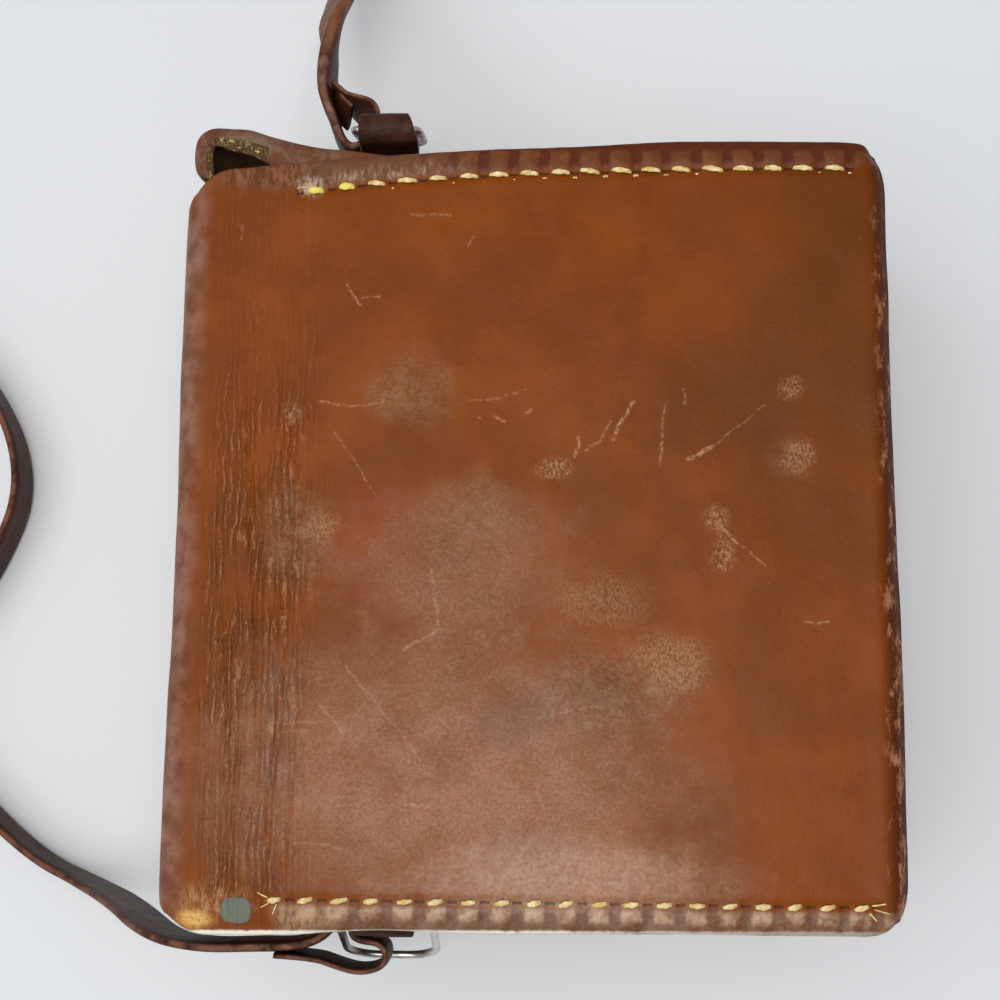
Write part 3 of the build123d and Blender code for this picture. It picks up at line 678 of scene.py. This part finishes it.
# Painted highlight on the puffed margin between the stitch holes, over the margin's own darker tone.
margin_tone = finish.mix(blotchy.smooth(0.4, 0.7) * pillow, (0.085, 0.016, 0.004), (0.2, 0.075, 0.024))
margin_tone = finish.mix(pillow * 0.6, margin_tone, (0.15, 0.05, 0.013))
margin_tone = finish.mix(finish.x.smooth(-12, -30) * 0.7, margin_tone, (0.13, 0.056, 0.028))
margin_tone = finish.mix(fuzz * 0.7, margin_tone, (0.46, 0.3, 0.19))
low_tone = finish.mix(blotchy.smooth(0.35, 0.65), (0.2, 0.085, 0.04), (0.46, 0.31, 0.2))
# Painted shade in the gaps between the puffs on the lower margin.
low_tone = finish.mix((1.0 - pillow) * 0.7, low_tone, (0.085, 0.03, 0.013))
rim_line = (off_seam + (blotchy - 0.5) * 0.8 + finish.x * 0.012).smooth(4.7, 5.3) * finish.x.smooth(-66, -62)
rim_line = rim_line * (finish.x.smooth(60, -20) * 0.7 + 0.3) * blotchy.smooth(0.22, 0.42)
rim_line = rim_line * finish.y.smooth(0, -10) * upper
margin_tone = finish.mix(finish.y.smooth(0, -10), margin_tone, low_tone)
colour = finish.mix(margin * 0.95, colour, margin_tone)
# Painted shade in the stitch holes.
colour = finish.mix(hole * 0.75, colour, (0.03, 0.009, 0.003))
hinge_margin = finish.x.smooth(-40, -46) * finish.y.smooth(64.5, 68) * finish.x.smooth(-67, -58) * upper
colour = finish.mix(hinge_margin * 0.7, colour, finish.mix(streaks, (0.075, 0.026, 0.01), (0.22, 0.1, 0.055)))
colour = finish.mix(blot(-45.5, 66.5, 4.5, 3.0, 0.9) * streaks * 0.8, colour, (0.5, 0.36, 0.26))
# The base fold's edge: a dark tone painted as shade where the fold turns down, with pale chips of real wear.
ends = (finish.x - base_x).math("ABSOLUTE").smooth(4.5, 1.0) * finish.z.smooth(60, 72)
chips = finish.noise(2.6, 5, stretch=(1, 2.4, 1), offset=73.0, rough=0.75)
shaded_worn_edge_tone = finish.mix(chips.smooth(0.5, 0.64), (0.065, 0.013, 0.004), (0.42, 0.19, 0.1))
colour = finish.mix(ends * 0.85, colour, shaded_worn_edge_tone)
fold_tone = finish.mix(finish.noise(4, 4, offset=79.0).smooth(0.3, 0.7), (0.15, 0.06, 0.035), (0.3, 0.16, 0.115))
at_fold = finish.x.smooth(-63.0, -67.5) * 0.8 * finish.noise(14, 3, offset=83.0).smooth(0.15, 0.5)
colour = finish.mix(at_fold, colour, fold_tone)
frayed = (blot(-58, -71.5, 9, 5, 0.9) + blot(-42, -74, 8, 3.4, 0.9)) * streaks * upper
colour = finish.mix(frayed.math("MINIMUM", 1.0) * 0.7, colour, (0.45, 0.25, 0.11))
torn = blot(-62.0, -74.6, 4.6, 2.4, 0.9) * grain.smooth(0.25, 0.5) * upper
colour = finish.mix(torn.math("MINIMUM", 1.0) * 0.9, colour, finish.mix(grain, (0.6, 0.25, 0.04), (0.8, 0.55, 0.2)))
chip_x = (finish.x + 54.4 + (blotchy - 0.5) * 1.4).math("ABSOLUTE") / 2.75
chip_v = (finish.y + 73.0 + (grain - 0.5)).math("ABSOLUTE") / 2.35
chip = (chip_x.math("POWER", 3.0) + chip_v.math("POWER", 3.0)).smooth(1.25, 0.8) * upper
colour = finish.mix(rim_line * 0.95, colour, (0.85, 0.79, 0.66))
colour = finish.mix(chip * (0.55 + grain * 0.7), colour, (0.13, 0.16, 0.125))
colour = finish.mix(marks * 0.8, colour, (0.52, 0.27, 0.14))
deep = finish.attribute("depth")
cut = deep.smooth(0.1, 0.3) * deep.smooth(0.97, 0.85)
raw = (finish.noise(7, 4, offset=71.0).smooth(0.32, 0.55) * finish.y.smooth(-40, -70)).math("MAXIMUM", 0.0)
colour = finish.mix(cut * 0.95, colour, finish.mix(raw, (0.09, 0.03, 0.014), (0.68, 0.6, 0.5)))
flesh = finish.mix(finish.noise(1.2, 4, offset=77.0), (0.13, 0.065, 0.033), (0.23, 0.13, 0.07))
colour = finish.mix(deep.smooth(0.9, 0.99), colour, flesh)
height = height * 0.6 + ridge * 0.9 - valley * 0.7 + marks * 0.3 - dark * 0.2 + chip * 0.5
height = height + finish.noise(0.5, 3, offset=87.0) * (painted_sheen + grey)
rough = rough + marks * 0.2 + grey * 0.1 + deep.smooth(0.5, 0.95) * 0.35
saddle = finish.wear(colour, rough, height, 0.0003, (painted_sheen * 0.4 + painted_sheen_peak * 0.4 + margin * 0.15 + 0.03) * (1 - deep))

wrap = wrap_part("wrap_leather", body_far, (False, True), saddle)
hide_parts("body_wrap", "lid")
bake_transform(wrap)
mouth = wrap_part("wrap_mouth", mouth_far, (True, False), saddle)
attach(mouth, "body")

# Front flap: the end of the same strip, folded under the front past a worn crease, with a tongue
# for the press stud.
flap_end = -9.0
flap_line = folded([(fold_end, 68), (-35.4, 68), (-34.6, 22), (flap_end, 22), (flap_end, 0)], [16, 6, 16], 0.02)
flap_x = steps(
    fold_end, (-60.7, 0.15), (-56, 0.35), (-36, 1.0), (-34, 0.07), (-26, 0.8), (-9.4, 0.35), (flap_end, 0.13)
)
flap_half = np.maximum(np.interp(flap_x, flap_line[:, 0], flap_line[:, 1]), 6) - 0.9
flap_v = np.linspace(-1, 1, 90)[None] * flap_half[:, None]
flap_grid = np.stack([np.broadcast_to(flap_x[:, None], flap_v.shape), flap_v + middle_y, np.zeros(flap_v.shape)], -1)
flap_lift = -0.15 - 0.1 * waves(flap_x[:, None], flap_v, 40, 5)
flap = sheet("flap_leather", flap_grid, wrap_thick, saddle, side=-1, lift=flap_lift)
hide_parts("front_flap")
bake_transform(flap)

# Side panels: walls of the same leather with their edges turned in and sewn under the wrap's
# margins. The left one's free corner is bent out and curls round the lid's edge, its rim worn raw.
wall_thick = 2.4
wall_v = 74.8
curl_x = [-30.0, -41.6, -46.5, -52.8, -58.8, -64.6, -68.2, -69.0, -68.5, -67.9]
curl_v = [75.6, 76.2, 77.0, 78.5, 80.1, 80.4, 78.2, 74.6, 71.2, 69.4]


def fade(distance, reach):
    """1 at no distance, falling smoothly to 0 at the reach."""
    return 0.5 + 0.5 * np.cos(math.pi * np.clip(np.abs(distance) / reach, 0, 1))


def wall_out(x, z, corner, pull, lug_x):
    """How far out a wall stands from the middle: bowed by its free corner and by the pull of its lug."""
    corner_part = corner * fade(np.maximum(0, x - lid_x - 12), 30) * fade(np.maximum(0, back_z - 6 - z), 52)
    return wall_v + corner_part + pull * fade(x - lug_x, 60) * fade(z - 35.5, 40)


def side_panel(name, side, corner, pull, lug_x, curled):
    """One side panel, from the mouth to the base, as a sheet that runs from one turned edge over its
    bend down the wall to the other."""
    along = steps(-65.3, (-50, 0.5), (-30, 0.8), (61, 2.5), (65.4, 1.1))
    section = np.concatenate([np.linspace(0, 1, 9), np.linspace(1, 2, 9)[1:], np.linspace(2, 3, 46)[1:]])
    section = np.concatenate([section, np.linspace(3, 4, 9)[1:], np.linspace(4, 5, 9)[1:]])
    x = along[:, None]
    s = section[None]
    rim = curled * ramp(-along, 44, 52)[:, None]
    flange = 9.0 - 4.2 * ramp(-along, 38, 50)[:, None] - 1.4 * ramp(-along, 52, 58)[:, None]
    top = back_z - wrap_thick - 0.1 + 0.9 * rim
    bottom = front_z(x) + wrap_thick + 0.1
    bend = 2.7
    round_one, round_two = (s - 1) * math.pi / 2, (s - 3) * math.pi / 2
    inset = np.select(
        [s < 1, s < 2, s <= 3, s <= 4],
        [flange + (bend - flange) * s, bend * (1 - np.sin(round_one)), 0 * s, bend * (1 - np.cos(round_two))],
        bend + (flange - bend) * (s - 4),
    )
    z = np.select(
        [s < 1, s < 2, s <= 3, s <= 4],
        [top + 0 * s, top - bend * (1 - np.cos(round_one)), top - bend + (bottom + 2 * bend - top) * (s - 2),
         bottom + bend * (1 - np.sin(round_two))],
        bottom + 0 * s,
    )
    straight_x, straight_v = x + 0 * s, wall_out(x, z, corner, pull, lug_x)
    path = eased(np.column_stack([curl_x, curl_v, np.zeros(len(curl_x))]))[:, :2]
    path_far = lengths(path)
    share = np.clip((-30 - along) / 35.3, 0, 1) * path_far[-1]
    bent_x = np.where(along > -30, along, np.interp(share, path_far, path[:, 0]))[:, None]
    bent_v = np.where(along > -30, 75.6, np.interp(share, path_far, path[:, 1]))[:, None]
    way = np.gradient(np.concatenate([bent_x, bent_v], 1), axis=0)
    way /= np.linalg.norm(way, axis=1)[:, None]
    worth = curled * fade(np.maximum(0, 72 - z), 45) * ramp(-x, 28, 40)
    in_x, in_v = worth * way[:, 1:], -1 + worth * (1 - np.abs(way[:, :1]))
    wall_x = straight_x + worth * (bent_x - straight_x) + inset * in_x
    wall_y = straight_v + worth * (bent_v - straight_v) + inset * in_v
    outer = np.stack([wall_x, side * wall_y + middle_y, z], -1)
    lift = 0.12 * waves(along[:, None], z * 1.5, 26, 8 + side) - 0.12 + 0.2 * rim * waves(x, s * 9, 7, 12) * (s < 2.4)
    raw = 0.6 * (rim > 0.3) * (s < 0.85)
    return sheet(name, outer, wall_thick, wall_finish.material, side=side, lift=lift, bulge=0.5, raw=raw)


wall_finish, colour, rough, height = hide("side_leather", (0.2, 0.052, 0.012), (0.11, 0.026, 0.008))
finish = wall_finish
scuffed = finish.noise(5, 5, offset=5.5, rough=0.7)
rim_near = finish.z.smooth(60, 71) * finish.x.smooth(-30, -46) * finish.y.smooth(60, 66)
colour = finish.mix(scuffed.smooth(0.55, 0.75) * 0.5, colour, (0.07, 0.02, 0.009))
colour = finish.mix(
    rim_near * 0.8, colour, finish.mix(scuffed.smooth(0.42, 0.62), (0.14, 0.05, 0.027), (0.2, 0.135, 0.09))
)
deep = finish.attribute("depth")
cut = deep.smooth(0.1, 0.35) * deep.smooth(0.99, 0.9)
fibre = finish.noise(0.9, 4, offset=6.6, rough=0.75).smooth(0.4, 0.6)
colour = finish.mix(cut * 0.95, colour, finish.mix(fibre, (0.13, 0.055, 0.02), (0.5, 0.39, 0.15)))
flesh = finish.mix(finish.noise(1.2, 4, offset=77.0), (0.11, 0.05, 0.026), (0.2, 0.11, 0.06))
colour = finish.mix(deep.smooth(0.93, 0.99), colour, flesh)
rough = rough + 0.15 * scuffed + deep.smooth(0.5, 0.95) * 0.3
finish.wear(colour, rough, height + cut * fibre * 2.0, 0.0004)
for name, side, corner, pull, lug_x, curled in [
    ("left_wall_leather", 1, 5.0, 1.8, left_lug_x, 1.0),
    ("right_wall_leather", -1, 0.8, -0.8, right_lug_x, 0.0),
]:
    wall = side_panel(name, side, corner, pull, lug_x, curled)
    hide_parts("left_side_panel" if side > 0 else "right_side_panel")
    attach(wall, "body")

# Stitches: waxed linen thread, yellowed, laid from hole to hole by hand, so each one leans a little
# and is drawn down at both ends.
finish = Finish("waxed_thread", roughness=0.55)
old = finish.attribute("depth")
tone = finish.mix(finish.noise(1.4, 4, offset=2.0, rough=0.7).smooth(0.36, 0.66), (0.62, 0.4, 0.1), (0.88, 0.76, 0.42))
colour = finish.mix(old.smooth(0.9, 1.0), tone, (0.8, 0.7, 0.14))
soiled = finish.noise(2.4, 4, offset=21.0).smooth(0.62, 0.8) * 0.45
colour = finish.mix(soiled, colour, (0.2, 0.08, 0.025))
finish.wear(colour, None, finish.noise(0.3, 2, offset=4.0), 0.0002)


def stitch(start, end, up, thick, twist, slack=0.0):
    """The rings of one stitch between two holes: it rises from each hole by a half sine, its radius
    by the fourth root of one, with two strands' ridges turning along it."""
    share = np.linspace(0, 1, 15)[:, None]
    rise = np.sin(math.pi * share)
    line = start + (end - start) * share + up * (-0.45 + (0.7 + slack) * rise**0.5)
    way = (end - start) / np.linalg.norm(end - start)
    over = np.cross(way, up)
    angle = np.linspace(0, 2 * math.pi, 10, endpoint=False)[None]
    radius = thick * (0.35 + 0.65 * rise**0.5) * (1 + 0.12 * np.cos(2 * (angle - share * twist)))
    outward = np.cos(angle)[..., None] * over * 1.12 + np.sin(angle)[..., None] * up * 0.7
    return line[:, None] + radius[..., None] * outward


straight_up = np.array([0, 0, 1.0])
draw = np.random.default_rng(11)
for face, rows in seams.items():
    rings, tints = [], []
    for row, (row_far, row_v) in enumerate(rows):
        for i, (far, v) in enumerate(zip(row_far, row_v)):
            x, z = (np.interp(far, wrap_far, wrap_line[:, k]) for k in (0, 1))
            ahead_x, ahead_z = (np.interp(far + 0.5, wrap_far, wrap_line[:, k]) for k in (0, 1))
            slope = np.array([ahead_x - x, ahead_z - z])
            slope /= np.linalg.norm(slope)
            way, up = np.array([slope[0], 0, slope[1]]), np.array([slope[1], 0, -slope[0]])
            drift = np.gradient(row_v, row_far)[i] if face == "back" else 0.0
            first_two = face == "back" and row == 0 and i < 2
            lean_v = draw.normal(0.22, 0.12) * (1 if v > 0 else -1)
            reach = (1.45 if face == "back" and row else 1.9) + draw.normal(0, 0.1)
            reach = 1.6 if first_two else reach
            centre = np.array([x, v + middle_y, z]) + up * -0.25 + way * draw.normal(0, 0.1)
            half = way * reach + np.array([0, drift * reach + lean_v, 0])
            thick = 0.66 if first_two else draw.normal(0.48, 0.03)
            rings.append(stitch(centre - half, centre + half, up, thick, draw.uniform(5, 7)))
            tints.append(1.0 if first_two else draw.uniform(0, 0.6))
    if face == "back":
        frays = [
            (-47.6, -71.2, -49.9, -72.4), (-48.4, -70.7, -50.6, -69.6), (-46.8, -71.6, -47.6, -73.8),
            (62.4, -70.6, 65.4, -70.1), (62.9, -71.2, 65.9, -72.0), (61.9, -71.7, 63.4, -73.4),
            (-45.2, 66.4, -47.6, 66.0),
        ]
        for ax, av, bx, bv in frays:
            start, end = np.array([ax, av + middle_y, back_z - 0.5]), np.array([bx, bv + middle_y, back_z - 0.2])
            rings.append(stitch(start, end, straight_up, draw.uniform(0.1, 0.18), 3.0, draw.uniform(-0.2, 0.4)))
            tints.append(0.3)
        for far, v in zip(*rows[0]):
            x = np.interp(far, wrap_far, wrap_line[:, 0]) + pitch / 2
            start = np.array([x - 0.7, v - 0.95 + middle_y, back_z - 0.75])
            end = start + [1.4, draw.normal(0, 0.15), 0.0]
            rings.append(stitch(start, end, straight_up, draw.uniform(0.12, 0.26), 3.0, -0.1))
            tints.append(0.2)
    rings = np.array(rings)
    count, long, round_count = rings.shape[:3]
    index = np.arange(count * long * round_count).reshape(count, long, round_count)
    after = np.roll(index, -1, 2)
    faces = np.stack([index[:, :-1], after[:, :-1], after[:, 1:], index[:, 1:]], -1).reshape(-1, 4).tolist()
    faces += index[:, 0].tolist() + index[:, -1].tolist()
    depth = np.broadcast_to(np.array(tints)[:, None, None], index.shape)
    seam = closed(f"{face}_stitches", rings, faces, finish.material, depth)
    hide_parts(f"{face}_seam_thread")
    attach(seam, "body")

# Lugs: a strip of dark leather up the wall, round the ring's bar and back down over itself, held by
# two rivets. The left one has been pulled askew, so its roll's end is slanted.
roll_z = 64.0
left_roll_v, right_roll_v = 83.02, 76.4
lug_finish, colour, rough, height = hide("lug_leather", (0.045, 0.014, 0.009), (0.018, 0.006, 0.004))
finish = lug_finish
# Painted highlight on the top of each lug's roll.
painted_roll_highlight = finish.z.smooth(62, 67.5) * finish.noise(4, 5, offset=3.3, rough=0.7).smooth(0.3, 0.7)
colour = finish.mix(painted_roll_highlight * 0.5, colour, (0.11, 0.042, 0.026))
colour = finish.mix(finish.attribute("depth").smooth(0.2, 0.6) * 0.5, colour, (0.1, 0.045, 0.028))
finish.wear(colour, rough, height, 0.0003)


def lug(name, side, tab_v, roll_v, lug_x, slant, outer_r, lug_wide, lug_thick):
    """A lug as a sheet along its side profile: up the wall, over the bar with an outer radius, and
    down on the outside to the riveted end."""
    low_z, knee_z = 23.0, 46.0
    wall_face = tab_v - lug_thick
    angle = np.radians(np.linspace(200, -62, 60))
    round_v = roll_v + outer_r * np.cos(angle)
    round_z = roll_z + outer_r * np.sin(angle)
    up_v, up_z = [wall_face, wall_face, wall_face + 0.6], [low_z, 40.0, 54.0]
    down_v = [tab_v + lug_thick + 0.9, tab_v + lug_thick, tab_v + lug_thick]
    down_z = [knee_z + 7, knee_z - 2, low_z - 1.5]
    profile = np.column_stack([np.concatenate([up_v, round_v, down_v]), np.concatenate([up_z, round_z, down_z])])
    far = lengths(profile)
    even = np.linspace(0, far[-1], 130)
    profile = np.column_stack([np.interp(even, far, profile[:, k]) for k in (0, 1)])
    for _ in range(4):
        profile[1:-1] = (profile[:-2] + 2 * profile[1:-1] + profile[2:]) / 4
    across = np.concatenate([np.linspace(-1, -0.8, 4), np.linspace(-0.7, 0.7, 12), np.linspace(0.8, 1, 4)])
    on_roll = bell(profile[:, 1:] - roll_z, 6.0)
    askew = slant * on_roll * (profile[:, :1] - roll_v + 1.0) * (across[None] + 1) / 2
    x = lug_x + across[None] * (lug_wide / 2 - 0.5) + askew
    v = np.broadcast_to(profile[:, :1], x.shape)
    z = np.broadcast_to(profile[:, 1:], x.shape)
    outer = np.stack([x, side * v + middle_y, z], -1)
    lift = 0.08 * waves(even[:, None], x, 9, 21)
    return sheet(name, outer, lug_thick * 0.98, lug_finish.material, side=-side, lift=lift, bulge=0.5)


for name, side, *shape in [
    ("left_lug_leather", 1, 79.02, left_roll_v, left_lug_x - 1.5, -0.3, 3.5, 11.6, 2.4),
    ("right_lug_leather", -1, 76.40, right_roll_v, right_lug_x, 0.0, 2.45, 11.8, 1.4),
]:
    strip = lug(name, side, *shape)
    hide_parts("left_lug" if side > 0 else "right_lug")
    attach(strip, "body")

# Metal: nickelled steel rings and stud cap, brass rivets, burrs and stud parts, all dulled by age.
# The rings are bent from wire and hang in the lugs' rolls. The rest is turned or pressed.
wire_radius = 0.8
ring_leg = 22
bar_round, end_round = 1.4, 6.2
steel = Finish("old_nickel", metallic=1.0)
dull = steel.noise(2.5, 5, offset=1.0, rough=0.7)
steel.wear(steel.mix(dull.smooth(0.45, 0.75), (0.62, 0.6, 0.57), (0.3, 0.27, 0.23)), 0.22 + dull * 0.3, dull, 0.00008)
brass = Finish("old_brass", metallic=1.0)
dull = brass.noise(2.0, 5, offset=4.0, rough=0.7)
brass.wear(brass.mix(dull.smooth(0.4, 0.7), (0.6, 0.4, 0.16), (0.2, 0.12, 0.05)), 0.3 + dull * 0.3, dull, 0.00008)


def ring(name, side, centre_x, half_wide, roll_v, node):
    """A strap ring bent from 1.6 mm wire: a straight bar in the lug's roll, two legs and a round end."""
    points = np.array([tuple(vertex.co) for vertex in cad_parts[node].data.vertices]) * 1000
    bar = np.array([centre_x, side * roll_v + middle_y, roll_z])
    far = points[np.argmax(np.linalg.norm((points - bar)[:, 1:], axis=1))] - bar
    drop = np.array([0, far[1], far[2]]) / np.hypot(far[1], far[2])
    corners = [(0, 0), (half_wide, 0), (half_wide, ring_leg), (-half_wide, ring_leg), (-half_wide, 0), (0, 0)]
    line = folded(corners, [bar_round, end_round, end_round, bar_round], 0.4)
    way = np.gradient(line, axis=0)
    way /= np.linalg.norm(way, axis=1)[:, None]
    plane = np.cross([1.0, 0, 0], drop)
    out = way[:, 1:] * [1.0, 0, 0] - way[:, :1] * drop
    angle = np.linspace(0, 2 * math.pi, 14, endpoint=False)
    centre = bar + line[:, :1] * [1.0, 0, 0] + line[:, 1:] * drop
    rings = centre[:, None] + wire_radius * (np.cos(angle)[:, None] * out[:, None] + np.sin(angle)[:, None] * plane)
    return tube(name, rings, steel.material)


for name, side, *shape in [
    ("left_ring_wire", 1, left_lug_x - 1.7, 6.7, left_roll_v, "left_ring"),
    ("right_ring_wire", -1, right_lug_x + 0.4, 9.0, right_roll_v, "right_ring"),
]:
    wire = ring(name, side, *shape)
    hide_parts(shape[-1])
    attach(wire, shape[-1])

brass_nodes = ["stud_socket", "stud_post", "stud_washer"]
brass_nodes += [f"{side}_{part}" for side in ("left", "right") for part in ("lug_rivets", "rivet_burrs")]
for node, metal in [("stud_cap", steel), *((node, brass) for node in brass_nodes)]:
    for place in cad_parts[node].material_slots:
        place.material = metal.material
